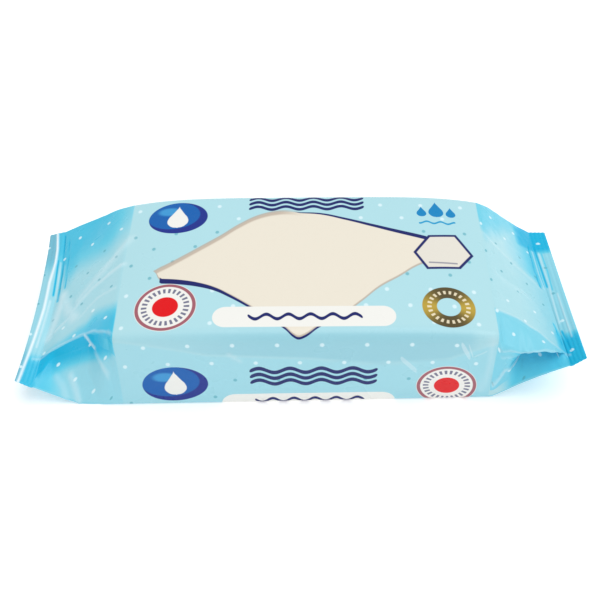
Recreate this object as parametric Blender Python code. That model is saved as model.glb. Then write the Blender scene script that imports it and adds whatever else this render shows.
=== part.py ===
"""A sealed flow-wrapped pack of wet wipes, lying on its underside.

One printed film is wrapped round a stack of folded wipes. Its long edges meet
in a lap seam under the pack, and its ends are crimped flat. The sides of the
film are tucked in between the two end flaps. Metres, +Z up, the front faces -Y.
"""

import math

import bmesh
import bpy
from mathutils import Vector, noise

# The stack of folded wipes
STACK_LENGTH = 0.190
STACK_WIDTH = 0.100
STACK_HEIGHT = 0.0465

# The film over the stack
FILM_EASE = 0.0014
TOP_CROWN_ALONG = 0.0040
TOP_CROWN_ACROSS = 0.0014
END_CROWN_SHARE = 0.4
CROWN_POWER = 4.5
TOP_EDGE_BULGE = 0.0022
SIDE_BULGE = 0.0024
MIDDLE_EDGE_RADIUS = 0.0070
END_EDGE_RADIUS = 0.0045
FOOT_RADIUS = 0.0022
FRONT_FOOT_LEFT_OUT = 0.0036
FRONT_FOOT_RIGHT_OUT = 0.0002
END_EDGE_SOFTNESS = 0.0022

# The crimped seals
SEAL_WIDTH = 0.0090
SEAL_LENGTH = 0.107
SEAL_THICKNESS = 0.0010
SEAL_RIBS = 4
SEAL_RIB_HEIGHT = 0.0003
SEAL_FLAP_STEP = 0.0003

# The lap seam under the pack
SEAM_WIDTH = 0.0110
SEAM_THICKNESS = 0.0008
SEAM_ROOT = 0.0050
SEAM_DISH = 0.0180

# Each end: stack to seal, height of the seal, how far the seal turns up and how
# far the film puffs out, every one given at the front and at the back. The bow
# is how far the middle of the seal is drawn in.
LEFT_REACH = (0.0467, 0.0448)
LEFT_BOW = 0.0030
LEFT_LIFT = (0.0137, 0.0238)
LEFT_TILT = (38.0, -16.0)
LEFT_PUFF = (0.0, 0.0)
RIGHT_REACH = (0.0386, 0.0349)
RIGHT_BOW = 0.0008
RIGHT_LIFT = (0.0280, 0.0205)
RIGHT_TILT = (44.0, -1.0)
RIGHT_PUFF = (0.0010, -0.0012)

# How far the underside lies flat before it rises to the seal, and how early it rises
LEFT_FLOOR = 0.0220
LEFT_RISE = -0.15
RIGHT_FLOOR = 0.0010
RIGHT_RISE = 0.30

# The tucked sides
TUCK_DEPTH = 0.0150
TUCK_RADIUS = 0.0012
FLAP_EDGE_RADIUS = 0.0012
LEFT_FLAP_SETBACK = 0.0198
RIGHT_FLAP_SETBACK = 0.0085

# The front of the right flap hangs down past a crease, which starts this far from
# the middle at the stack, and at the seal
RIGHT_FLAP_DROOP = 0.0075
DROOP_START = (0.034, 0.047)

# Curves are (share of the way from stack to seal, value) pairs
TUCK_EARLY = ((0.0, 0.0), (0.12, 0.16), (0.40, 0.90), (0.80, 1.0), (0.97, 0.45), (1.0, 0.02))
TUCK_LATE = ((0.0, 0.0), (0.20, 0.15), (0.48, 0.90), (0.80, 1.0), (0.97, 0.45), (1.0, 0.02))
SETBACK_EARLY = ((0.0, 0.0), (0.10, 0.34), (0.22, 0.58), (0.40, 0.80), (0.65, 0.92), (1.0, 1.0))
SETBACK_LATE = ((0.0, 0.0), (0.50, 0.0), (0.70, 0.20), (0.85, 0.60), (1.0, 1.0))
DROOP_CURVE = ((0.0, 0.0), (0.10, 1.0), (0.30, 0.88), (0.40, 0.61), (0.50, 0.31), (0.65, 0.0), (1.0, 0.0))
VALLEY_HIGH = ((0.0, 0.60), (0.30, 0.78), (1.0, 0.74))
VALLEY_RISING = ((0.0, 0.25), (0.38, 0.58), (1.0, 0.66))
VALLEY_MIDDLE = ((0.0, 0.50), (1.0, 0.50))

# Shares at which the flap edges are fully creased, the layers start to close
# into the seal, and the lap seam starts and ends its fade into it
CREASED_SHARE = 0.30
CLOSING_SHARE = 0.80
SEAM_FADE = (0.60, 0.93)

# A corner is cut back by no more than this share of its sides
CUT_LIMIT = 0.48

# Soft undulation of the loose film
RIPPLE_HEIGHT = 0.0009
RIPPLE_LENGTH = 0.022
RIPPLE_FADE = 0.25

# Stations along the pack, and points round it
STACK_STATIONS = 13
END_SHARES = (0.04, 0.09, 0.15, 0.22, 0.30, 0.38, 0.47, 0.56, 0.65, 0.74, 0.83, 0.90, 0.96, 1.0)
POINTS_TOP = 9
POINTS_EDGE = 4
POINTS_PANEL = 4
POINTS_FOLD = 3
POINTS_BOTTOM = 4

HALF_WIDTH = STACK_WIDTH / 2 + FILM_EASE
HEIGHT = STACK_HEIGHT + FILM_EASE
HALF_STACK = STACK_LENGTH / 2
HALF_SEAL = SEAL_LENGTH / 2
HALF_BAND = SEAL_THICKNESS / 2
FRONT = -1
BACK = 1


class Tuck:
    """One tucked side of one end: the fold, and the flap edge set back over it."""

    def __init__(self, depth_curve, valley_curve, setback=0.0, setback_curve=SETBACK_LATE):
        self.depth_curve = depth_curve
        self.valley_curve = valley_curve
        self.setback = setback
        self.setback_curve = setback_curve


class End:
    """One end of the pack. Pairs are front and back; facing is -1 left, +1 right."""

    def __init__(self, facing, reach, bow, lift, tilt, puff, floor, rise, tucks, droop=0.0):
        self.facing = facing
        self.reach = reach
        self.bow = bow
        self.lift = lift
        self.tilt = tilt
        self.puff = puff
        self.floor = floor
        self.rise = rise
        self.tucks = tucks
        self.droop = droop


LEFT = End(
    -1, LEFT_REACH, LEFT_BOW, LEFT_LIFT, LEFT_TILT, LEFT_PUFF, LEFT_FLOOR, LEFT_RISE,
    (Tuck(TUCK_EARLY, VALLEY_HIGH, LEFT_FLAP_SETBACK, SETBACK_EARLY), Tuck(TUCK_EARLY, VALLEY_MIDDLE)),
)
RIGHT = End(
    1, RIGHT_REACH, RIGHT_BOW, RIGHT_LIFT, RIGHT_TILT, RIGHT_PUFF, RIGHT_FLOOR, RIGHT_RISE,
    (Tuck(TUCK_LATE, VALLEY_RISING, RIGHT_FLAP_SETBACK), Tuck(TUCK_EARLY, VALLEY_MIDDLE)),
    RIGHT_FLAP_DROOP,
)


def mix(a, b, share):
    """The value a share of the way from a to b."""
    return a + (b - a) * share


def smooth(share):
    """0 to 1 with a level start and finish."""
    share = min(max(share, 0.0), 1.0)
    return share * share * (3 - 2 * share)


def curve(knots, share):
    """Reads a curve given as (share, value) pairs, smoothly between them."""
    for (a, low), (b, high) in zip(knots, knots[1:]):
        if share <= b:
            return mix(low, high, smooth((share - a) / (b - a)))
    return knots[-1][1]


def soft_ramp(distance, whole):
    """0 to 1 over a whole length, straight but for a rounded start at the stack's edge."""
    distance = max(distance, 0.0)
    soft = END_EDGE_SOFTNESS
    return (math.hypot(distance, soft) - soft) / (math.hypot(whole, soft) - soft)


def across(pair, y):
    """Reads a front and back pair at y."""
    return mix(pair[0], pair[1], (y + HALF_SEAL) / SEAL_LENGTH)


def half_width(share):
    """The film widens a little from the stack to the seal."""
    return mix(HALF_WIDTH, HALF_SEAL, smooth(share))


def fullness(x):
    """1 at the middle of the stack, falling to 0 at its ends."""
    return 1 - min(abs(x) / HALF_STACK, 1.0) ** CROWN_POWER


def crown(x, y):
    """How far the top stands above its edges over the stack."""
    side = 1 - min(abs(y) / HALF_WIDTH, 1.0) ** 2
    return TOP_CROWN_ALONG * fullness(x) + TOP_CROWN_ACROSS * side * mix(END_CROWN_SHARE, 1.0, fullness(x))


def foot_out(side, x):
    """How far the lower front edge stands out, because the wipes lean a little."""
    if side == BACK:
        return 0.0
    return mix(FRONT_FOOT_LEFT_OUT, FRONT_FOOT_RIGHT_OUT, (x + HALF_STACK) / STACK_LENGTH)


def ripple(x, y):
    """Soft waves in the loose film, the same each time."""
    return RIPPLE_HEIGHT * noise.noise(Vector((x / RIPPLE_LENGTH, y / RIPPLE_LENGTH, 0.0)))


def reach(end, y):
    """Distance from the end of the stack to the seal."""
    return across(end.reach, y) - end.bow * (1 - (y / HALF_SEAL) ** 2)


def end_x(end, share, y):
    """Distance from the middle of the stack to a station of an end."""
    return end.facing * (HALF_STACK + reach(end, y) * share)


def droop(end, share, y):
    """How far the front of an upper flap hangs down past its crease."""
    start = mix(DROOP_START[0], DROOP_START[1], share)
    past = min(max((-y - start) / (half_width(share) - start), 0.0), 1.0)
    return end.droop * curve(DROOP_CURVE, share) * past


def flap_top(end, share, y):
    """Height of the upper flap of an end."""
    ramp = soft_ramp(share * reach(end, y), reach(end, y))
    puff = across(end.puff, y) * 4 * share * (1 - share)
    wave = ripple(end_x(end, share, y), y) * smooth(share / RIPPLE_FADE) * smooth((1 - share) / RIPPLE_FADE)
    top = HEIGHT + crown(HALF_STACK, y) * (1 - share)
    return mix(top, across(end.lift, y) + HALF_BAND, ramp) + puff + wave - droop(end, share, y)


def flap_bottom(end, share, y):
    """Height of the lower flap of an end, on the floor until it rises to the seal."""
    ramp = soft_ramp(share * reach(end, y) - end.floor, reach(end, y) - end.floor)
    ramp *= 1 + end.rise * (1 - ramp)
    return mix(0.0, across(end.lift, y) - HALF_BAND, ramp)


def seal_point(end, y, out, above):
    """A point of a seal: a distance out from its inner edge, and above its middle."""
    tilt = math.radians(across(end.tilt, y))
    x = end.facing * (HALF_STACK + reach(end, y) + out * math.cos(tilt) - above * math.sin(tilt))
    return Vector((x, y, across(end.lift, y) + out * math.sin(tilt) + above * math.cos(tilt)))


def bend(before, corner, after, cut, count):
    """Points of a rounded corner. The cut is its tangent length, limited by the sides."""
    start = corner + (before - corner).normalized() * min(cut, (before - corner).length * CUT_LIMIT)
    finish = corner + (after - corner).normalized() * min(cut, (after - corner).length * CUT_LIMIT)
    points = []
    for step in range(count + 1):
        share = step / count
        first = start.lerp(corner, share)
        points.append(first.lerp(corner.lerp(finish, share), share))
    return points


def between(start, finish, count):
    """Points inside a straight stretch, without its two ends."""
    return [start.lerp(finish, step / count) for step in range(1, count)]


def half_ring(side, edge, fold, foot, edge_cut, fold_cut, foot_cut, top_height, base_height):
    """Points (y, z) from the middle of the top, round one side, to the lap seam.

    Edge, fold and foot are the upper edge, the tucked fold and the lower edge of
    the film, and the two heights are functions of y.
    """
    inner = Vector((side * (abs(edge.x) - 2 * edge_cut), top_height(side * (abs(edge.x) - 2 * edge_cut))))
    edge_arc = bend(inner, edge, fold, edge_cut, POINTS_EDGE)
    fold_arc = bend(edge_arc[-1], fold, foot, fold_cut, POINTS_FOLD)
    foot_arc = bend(fold_arc[-1], foot, Vector((0.0, foot.y)), foot_cut, POINTS_EDGE)
    points = []
    for step in range(POINTS_TOP):
        y = edge_arc[0].x * step / POINTS_TOP
        points.append(Vector((y, top_height(y))))
    points += edge_arc
    points += between(edge_arc[-1], fold_arc[0], POINTS_PANEL)
    points += fold_arc
    points += between(fold_arc[-1], foot_arc[0], POINTS_PANEL)
    points += foot_arc
    for step in range(1, POINTS_BOTTOM):
        y = mix(foot_arc[-1].x, side * SEAM_DISH, step / (POINTS_BOTTOM - 1))
        points.append(Vector((y, base_height(y))))
    return points


def seam(base_height, flat):
    """Points of the lap seam from front to back, in a dish as deep as the seam is thick."""
    depth = SEAM_THICKNESS * flat
    front = SEAM_ROOT - SEAM_WIDTH
    return [
        Vector((front, base_height(front) + depth)),
        Vector((front, base_height(front))),
        Vector((SEAM_ROOT, base_height(SEAM_ROOT))),
        Vector((SEAM_ROOT, base_height(SEAM_ROOT) + depth)),
    ]


def whole_ring(front, back, seam_points):
    """One closed ring: back to front over the top, then front to back underneath."""
    return list(reversed(back[1:])) + front + seam_points


def stack_ring(x):
    """The film round the stack."""
    full = fullness(x)
    edge_cut = mix(END_EDGE_RADIUS, MIDDLE_EDGE_RADIUS, full)
    halves = []
    for side in (FRONT, BACK):
        edge = Vector((side * (HALF_WIDTH + TOP_EDGE_BULGE * full), HEIGHT + TOP_CROWN_ALONG * full))
        foot = Vector((side * (HALF_WIDTH + foot_out(side, x)), 0.0))
        fold = Vector((side * (HALF_WIDTH + SIDE_BULGE * full), HEIGHT * 0.5))
        halves.append(half_ring(
            side, edge, fold, foot, edge_cut, HEIGHT, FOOT_RADIUS,
            lambda y: HEIGHT + crown(x, y), lambda y: 0.0,
        ))
    ring = whole_ring(halves[0], halves[1], seam(lambda y: 0.0, 1.0))
    return [Vector((x, point.x, point.y)) for point in ring]


def end_ring(end, share):
    """The film round one station of an end."""
    halves = []
    narrow = smooth(share / CREASED_SHARE)
    for side, tuck in zip((FRONT, BACK), end.tucks):
        width = half_width(share)
        setback = tuck.setback * curve(tuck.setback_curve, share)
        depth = TUCK_DEPTH * curve(tuck.depth_curve, share)
        edge_y = side * (width - setback)
        edge = Vector((edge_y, flap_top(end, share, edge_y)))
        low = flap_bottom(end, share, side * width)
        foot_y = side * (width + foot_out(side, end.facing * HALF_STACK) * (1 - smooth(share)))
        foot = Vector((foot_y, low))
        high = flap_top(end, share, side * width)
        high = mix(high, high - SEAL_FLAP_STEP, smooth((share - CLOSING_SHARE) / (1 - CLOSING_SHARE)))
        fold = Vector((side * (width - depth), mix(low, high, curve(tuck.valley_curve, share))))
        halves.append(half_ring(
            side, edge, fold, foot,
            mix(END_EDGE_RADIUS, FLAP_EDGE_RADIUS, narrow),
            mix(HEIGHT, TUCK_RADIUS, narrow),
            mix(FOOT_RADIUS, FLAP_EDGE_RADIUS, narrow),
            lambda y: flap_top(end, share, y), lambda y: flap_bottom(end, share, y),
        ))
    flat = 1 - smooth((share - SEAM_FADE[0]) / (SEAM_FADE[1] - SEAM_FADE[0]))
    ring = whole_ring(halves[0], halves[1], seam(lambda y: flap_bottom(end, share, y), flat))
    return [Vector((end_x(end, share, point.x), point.x, point.y)) for point in ring]


def seal_ring(end, out, rib):
    """The film round one station of a seal, at a distance out from its inner edge."""
    points = []
    for inner in end_ring(end, 1.0):
        above = inner.z - across(end.lift, inner.y)
        above += rib * SEAL_RIB_HEIGHT * (1 if above > 0 else -1)
        points.append(seal_point(end, inner.y, out, above))
    return points


def end_rings(end):
    """The rings of one end, from the stack outwards, with its crimped ribs."""
    rings = [end_ring(end, share) for share in END_SHARES]
    half_rib = SEAL_WIDTH / (2 * SEAL_RIBS)
    for step in range(1, 2 * SEAL_RIBS + 1):
        rib = step % 2
        rings.append(seal_ring(end, step * half_rib, rib))
    return rings


def stack_rings():
    """The rings over the stack, from left to right."""
    rings = []
    for step in range(STACK_STATIONS):
        rings.append(stack_ring(mix(-HALF_STACK, HALF_STACK, step / (STACK_STATIONS - 1))))
    return rings


def film_rings():
    """Every ring from left to right, with the middle of the overall length and width at 0."""
    rings = list(reversed(end_rings(LEFT))) + stack_rings() + end_rings(RIGHT)
    xs = [point.x for ring in rings for point in ring]
    ys = [point.y for ring in rings for point in ring]
    middle = Vector((
        (min(xs) + max(xs)) / 2,
        (min(ys) + max(ys)) / 2,
        0.0,
    ))
    return [[point - middle for point in ring] for ring in rings]


def film_mesh():
    """Skins the rings and closes the two outer edges."""
    mesh = bmesh.new()
    rings = [[mesh.verts.new(point) for point in ring] for ring in film_rings()]
    for left, right in zip(rings, rings[1:]):
        count = len(left)
        for step in range(count):
            after = (step + 1) % count
            mesh.faces.new((left[step], left[after], right[after], right[step]))
    for ring in (rings[0], rings[-1]):
        mesh.faces.new(ring)
    bmesh.ops.triangulate(mesh, faces=list(mesh.faces), quad_method="SHORT_EDGE", ngon_method="BEAUTY")
    bmesh.ops.recalc_face_normals(mesh, faces=list(mesh.faces))
    data = bpy.data.meshes.new("wipes_pack")
    mesh.to_mesh(data)
    mesh.free()
    data.shade_smooth()
    data.set_sharp_from_angle(angle=math.radians(40))
    return data


def film_material():
    """Glossy light blue printed film."""
    material = bpy.data.materials.new("film")
    material.use_nodes = True
    shader = material.node_tree.nodes["Principled BSDF"]
    shader.inputs["Base Color"].default_value = (0.462, 0.753, 0.815, 1.0)
    shader.inputs["Roughness"].default_value = 0.28
    shader.inputs["Metallic"].default_value = 0.0
    return material


def clear_scene():
    """Removes what the scene holds."""
    for item in list(bpy.data.objects):
        bpy.data.objects.remove(item, do_unlink=True)


def main():
    """Models the pack."""
    clear_scene()
    data = film_mesh()
    data.materials.append(film_material())
    bpy.context.scene.collection.objects.link(bpy.data.objects.new("wipes_pack", data))


main()
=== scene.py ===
"""A flow-wrapped pack of wet wipes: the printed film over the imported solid.

Shapes are in metres, with the stack of wipes centred on x = 0 until the film is
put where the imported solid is. The printed design is in millimetres of film: u
runs along the pack from its middle, and v runs round it from the middle of the
top, with the back positive.
"""

import math
from collections import namedtuple
from functools import partialmethod, reduce

import bmesh
import bpy
from mathutils import Matrix, Vector, noise


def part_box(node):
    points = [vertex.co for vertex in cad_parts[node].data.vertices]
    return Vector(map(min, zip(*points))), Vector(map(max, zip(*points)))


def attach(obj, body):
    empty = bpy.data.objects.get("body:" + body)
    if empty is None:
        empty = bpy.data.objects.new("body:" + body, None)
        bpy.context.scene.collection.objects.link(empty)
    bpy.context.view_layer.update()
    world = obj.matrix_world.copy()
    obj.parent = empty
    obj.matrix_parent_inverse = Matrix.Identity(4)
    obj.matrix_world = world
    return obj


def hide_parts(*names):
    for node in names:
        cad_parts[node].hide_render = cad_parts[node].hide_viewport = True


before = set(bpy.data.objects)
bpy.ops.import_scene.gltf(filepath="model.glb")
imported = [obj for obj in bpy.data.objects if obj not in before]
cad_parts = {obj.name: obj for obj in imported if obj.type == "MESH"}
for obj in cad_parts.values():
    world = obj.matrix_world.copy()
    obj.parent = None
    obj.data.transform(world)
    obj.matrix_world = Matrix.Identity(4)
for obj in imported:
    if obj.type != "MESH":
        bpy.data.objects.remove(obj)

NODE = "wipes_pack"

# The stack of folded wipes and the film over it
STACK_LENGTH = 0.190
STACK_WIDTH = 0.100
STACK_HEIGHT = 0.0465
FILM_EASE = 0.0014
TOP_CROWN_ALONG = 0.0040
TOP_CROWN_ACROSS = 0.0014
END_CROWN_SHARE = 0.4
CROWN_POWER = 4.5
TOP_EDGE_BULGE = 0.0022
SIDE_BULGE = 0.0024
MIDDLE_EDGE_RADIUS = 0.0070
END_EDGE_RADIUS = 0.0045
FOOT_RADIUS = 0.0022
FRONT_FOOT_LEFT_OUT = 0.0036
FRONT_FOOT_RIGHT_OUT = 0.0002
END_EDGE_SOFTNESS = 0.0022

# The crimped seals
SEAL_WIDTH = 0.0090
SEAL_LENGTH = 0.107
SEAL_THICKNESS = 0.0010
SEAL_RIBS = 4
SEAL_RIB_HEIGHT = 0.0002
SEAL_FLAP_STEP = 0.0003

# The lap seam under the pack
SEAM_WIDTH = 0.0110
SEAM_THICKNESS = 0.0008
SEAM_ROOT = 0.0050
SEAM_DISH = 0.0180

# The tucked sides
TUCK_DEPTH = 0.0150
TUCK_RADIUS = 0.0012
FLAP_EDGE_RADIUS = 0.0012

# The front of the right flap hangs down past a crease, which is this far from the
# middle at the stack, and at the seal
DROOP_START = (0.034, 0.047)

# Curves are (share of the way from stack to seal, value) pairs
TUCK_EARLY = ((0.0, 0.0), (0.12, 0.16), (0.40, 0.90), (0.80, 1.0), (0.97, 0.45), (1.0, 0.02))
TUCK_LATE = ((0.0, 0.0), (0.20, 0.15), (0.48, 0.90), (0.80, 1.0), (0.97, 0.45), (1.0, 0.02))
SETBACK_EARLY = ((0.0, 0.0), (0.10, 0.34), (0.22, 0.58), (0.40, 0.80), (0.65, 0.92), (1.0, 1.0))
SETBACK_LATE = ((0.0, 0.0), (0.50, 0.0), (0.70, 0.20), (0.85, 0.60), (1.0, 1.0))
DROOP_CURVE = ((0.0, 0.0), (0.10, 1.0), (0.30, 0.88), (0.40, 0.61), (0.50, 0.31), (0.65, 0.0), (1.0, 0.0))
VALLEY_HIGH = ((0.0, 0.60), (0.30, 0.78), (1.0, 0.74))
VALLEY_RISING = ((0.0, 0.25), (0.38, 0.58), (1.0, 0.66))
VALLEY_MIDDLE = ((0.0, 0.50), (1.0, 0.50))
CREASED_SHARE = 0.30
CLOSING_SHARE = 0.80
SEAM_FADE = (0.60, 0.93)
CUT_LIMIT = 0.48

# Soft undulation of the loose film
RIPPLE_HEIGHT = 0.0009
RIPPLE_LENGTH = 0.022
RIPPLE_FADE = 0.25

# The film's mesh: stations along the pack, and points round it
STACK_STATIONS = 84
END_STATIONS = 56
SEAL_STATIONS = 24
POINTS_TOP = 58
POINTS_EDGE = 10
POINTS_PANEL = 24
POINTS_FOLD = 8
POINTS_BOTTOM = 22

# Film from the stack to the seal, along the slope
END_FILM = 0.054
MAP_SPAN = 0.400

HALF_WIDTH = STACK_WIDTH / 2 + FILM_EASE
HEIGHT = STACK_HEIGHT + FILM_EASE
HALF_STACK = STACK_LENGTH / 2
HALF_SEAL = SEAL_LENGTH / 2
HALF_BAND = SEAL_THICKNESS / 2
FRONT = -1
BACK = 1
MM = 1000.0


# One tucked side of one end: how deep its fold is and how high, as curves, and how
# far the flap's edge is set back over it
Tuck = namedtuple("Tuck", "depth_curve valley_curve setback setback_curve", defaults=(0.0, SETBACK_LATE))

# One end of the pack. Facing is -1 left and +1 right. Pairs are front and back.
End = namedtuple("End", "facing reach bow lift tilt puff floor rise tucks droop", defaults=(0.0,))

LEFT = End(
    facing=-1, reach=(0.0467, 0.0448), bow=0.0030, lift=(0.0137, 0.0238), tilt=(38.0, -16.0),
    puff=(0.0, 0.0), floor=0.0220, rise=-0.15,
    tucks=(Tuck(TUCK_EARLY, VALLEY_HIGH, 0.0198, SETBACK_EARLY), Tuck(TUCK_EARLY, VALLEY_MIDDLE)))
RIGHT = End(
    facing=1, reach=(0.0386, 0.0349), bow=0.0008, lift=(0.0280, 0.0205), tilt=(44.0, -1.0),
    puff=(0.0010, -0.0012), floor=0.0010, rise=0.30, droop=0.0075,
    tucks=(Tuck(TUCK_LATE, VALLEY_RISING, 0.0085), Tuck(TUCK_EARLY, VALLEY_MIDDLE)))

# The attributes for the film's depth of colour, partly painted shade, its painted highlights, and its
# greyness, partly painted shade
TINT_LAYERS = ("depth_and_shade", "pale", "grey_and_shade")


class Spot:
    """A point of the film: its place, how far along the film it is, and where in the pack."""

    def __init__(self, place, along, end=None, share=0.0):
        self.place = place
        self.along = along
        self.round = 0.0
        self.end = end
        self.share = share
        self.out = 0.0
        self.panel = ""

    @property
    def u(self):
        """How far along the film it is, in millimetres."""
        return self.along * MM

    @property
    def v(self):
        """How far round the film it is, in millimetres."""
        return self.round * MM

    @property
    def uv(self):
        """Its place in the UV map."""
        return self.along / MAP_SPAN + 0.5, self.round / MAP_SPAN + 0.5

    @property
    def on_seal(self):
        """Whether it is on a seal or on the seal's inner edge."""
        return self.out > 0 or self.share >= 1.0


def mix(a, b, share):
    """The value a share of the way from a to b."""
    return a + (b - a) * share


def smooth(share):
    """0 to 1 with a level start and finish."""
    share = min(max(share, 0.0), 1.0)
    return share * share * (3 - 2 * share)


def ramp(low, high, value):
    """0 below low, 1 above high, and smooth between them."""
    return smooth((value - low) / (high - low))


def curve(knots, share):
    """Reads a curve given as (share, value) pairs, smoothly between them."""
    for (a, low), (b, high) in zip(knots, knots[1:]):
        if share <= b:
            return mix(low, high, smooth((share - a) / (b - a)))
    return knots[-1][1]


def soft_ramp(distance, whole):
    """0 to 1 over a whole length, straight but for a rounded start at the stack's edge."""
    distance = max(distance, 0.0)
    soft = END_EDGE_SOFTNESS
    return (math.hypot(distance, soft) - soft) / (math.hypot(whole, soft) - soft)


def across(pair, y):
    """Reads a front and back pair at y."""
    return mix(pair[0], pair[1], (y + HALF_SEAL) / SEAL_LENGTH)


def half_width(share):
    """The film widens a little from the stack to the seal."""
    return mix(HALF_WIDTH, HALF_SEAL, smooth(share))


def fullness(x):
    """1 at the middle of the stack, falling to 0 at its ends."""
    return 1 - min(abs(x) / HALF_STACK, 1.0) ** CROWN_POWER


def crown(x, y):
    """How far the top stands above its edges over the stack."""
    side = 1 - min(abs(y) / HALF_WIDTH, 1.0) ** 2
    return TOP_CROWN_ALONG * fullness(x) + TOP_CROWN_ACROSS * side * mix(END_CROWN_SHARE, 1.0, fullness(x))


def foot_out(side, x):
    """How far the lower front edge stands out, because the wipes lean a little."""
    if side == BACK:
        return 0.0
    return mix(FRONT_FOOT_LEFT_OUT, FRONT_FOOT_RIGHT_OUT, (x + HALF_STACK) / STACK_LENGTH)


def ripple(x, y):
    """Soft waves in the loose film, the same each time."""
    return RIPPLE_HEIGHT * noise.noise(Vector((x / RIPPLE_LENGTH, y / RIPPLE_LENGTH, 0.0)))


def reach(end, y):
    """Distance from the end of the stack to the seal."""
    return across(end.reach, y) - end.bow * (1 - (y / HALF_SEAL) ** 2)


def end_x(end, share, y):
    """Distance from the middle of the stack to a station of an end."""
    return end.facing * (HALF_STACK + reach(end, y) * share)


def droop(end, share, y):
    """How far the front of an upper flap hangs down past its crease."""
    start = mix(DROOP_START[0], DROOP_START[1], share)
    past = min(max((-y - start) / (half_width(share) - start), 0.0), 1.0)
    return end.droop * curve(DROOP_CURVE, share) * past


def flap_top(end, share, y):
    """Height of the upper flap of an end."""
    slope = soft_ramp(share * reach(end, y), reach(end, y))
    puff = across(end.puff, y) * 4 * share * (1 - share)
    wave = ripple(end_x(end, share, y), y) * smooth(share / RIPPLE_FADE) * smooth((1 - share) / RIPPLE_FADE)
    top = HEIGHT + crown(HALF_STACK, y) * (1 - share)
    return mix(top, across(end.lift, y) + HALF_BAND, slope) + puff + wave - droop(end, share, y)


def flap_bottom(end, share, y):
    """Height of the lower flap of an end, on the floor until it rises to the seal."""
    slope = soft_ramp(share * reach(end, y) - end.floor, reach(end, y) - end.floor)
    slope *= 1 + end.rise * (1 - slope)
    return mix(0.0, across(end.lift, y) - HALF_BAND, slope)


def seal_point(end, y, out, above):
    """A point of a seal: a distance out from its inner edge, and above its middle."""
    tilt = math.radians(across(end.tilt, y))
    x = end.facing * (HALF_STACK + reach(end, y) + out * math.cos(tilt) - above * math.sin(tilt))
    return Vector((x, y, across(end.lift, y) + out * math.sin(tilt) + above * math.cos(tilt)))


def bend(before, corner, after, cut, count):
    """Points of a rounded corner. The cut is its tangent length, limited by the sides."""
    start = corner + (before - corner).normalized() * min(cut, (before - corner).length * CUT_LIMIT)
    finish = corner + (after - corner).normalized() * min(cut, (after - corner).length * CUT_LIMIT)
    points = []
    for step in range(count + 1):
        share = step / count
        first = start.lerp(corner, share)
        points.append(first.lerp(corner.lerp(finish, share), share))
    return points


def between(start, finish, count):
    """Points inside a straight stretch, without its two ends."""
    return [start.lerp(finish, step / count) for step in range(1, count)]


def half_ring(side, edge, fold, foot, edge_cut, fold_cut, foot_cut, top_height, base_height):
    """Points (y, z) from the middle of the top, round one side, to the middle of the underside.

    Edge, fold and foot are the upper edge, the tucked fold and the lower edge of
    the film, and the two heights are functions of y.
    """
    inner = Vector((side * (abs(edge.x) - 2 * edge_cut), top_height(side * (abs(edge.x) - 2 * edge_cut))))
    edge_arc = bend(inner, edge, fold, edge_cut, POINTS_EDGE)
    fold_arc = bend(edge_arc[-1], fold, foot, fold_cut, POINTS_FOLD)
    foot_arc = bend(fold_arc[-1], foot, Vector((0.0, foot.y)), foot_cut, POINTS_EDGE)
    points = []
    for step in range(POINTS_TOP):
        y = edge_arc[0].x * step / POINTS_TOP
        points.append(Vector((y, top_height(y))))
    points += edge_arc
    points += between(edge_arc[-1], fold_arc[0], POINTS_PANEL)
    points += fold_arc
    points += between(fold_arc[-1], foot_arc[0], POINTS_PANEL)
    points += foot_arc
    for step in range(1, POINTS_BOTTOM):
        y = mix(foot_arc[-1].x, side * SEAM_DISH, step / (POINTS_BOTTOM - 1))
        points.append(Vector((y, base_height(y))))
    return points


def seam(base_height, flat):
    """Points of the lap seam from front to back, in a dish as deep as the seam is thick."""
    depth = SEAM_THICKNESS * flat
    front = SEAM_ROOT - SEAM_WIDTH
    return [
        Vector((front, base_height(front) + depth)),
        Vector((front, base_height(front))),
        Vector((SEAM_ROOT, base_height(SEAM_ROOT))),
        Vector((SEAM_ROOT, base_height(SEAM_ROOT) + depth)),
    ]


def stack_halves(x):
    """The two halves of the ring round the stack at x, and the lap seam."""
    full = fullness(x)
    edge_cut = mix(END_EDGE_RADIUS, MIDDLE_EDGE_RADIUS, full)
    halves = []
    for side in (FRONT, BACK):
        edge = Vector((side * (HALF_WIDTH + TOP_EDGE_BULGE * full), HEIGHT + TOP_CROWN_ALONG * full))
        foot = Vector((side * (HALF_WIDTH + foot_out(side, x)), 0.0))
        fold = Vector((side * (HALF_WIDTH + SIDE_BULGE * full), HEIGHT * 0.5))
        halves.append(half_ring(
            side, edge, fold, foot, edge_cut, HEIGHT, FOOT_RADIUS,
            lambda y: HEIGHT + crown(x, y), lambda y: 0.0,
        ))
    return halves, seam(lambda y: 0.0, 1.0)


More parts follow.
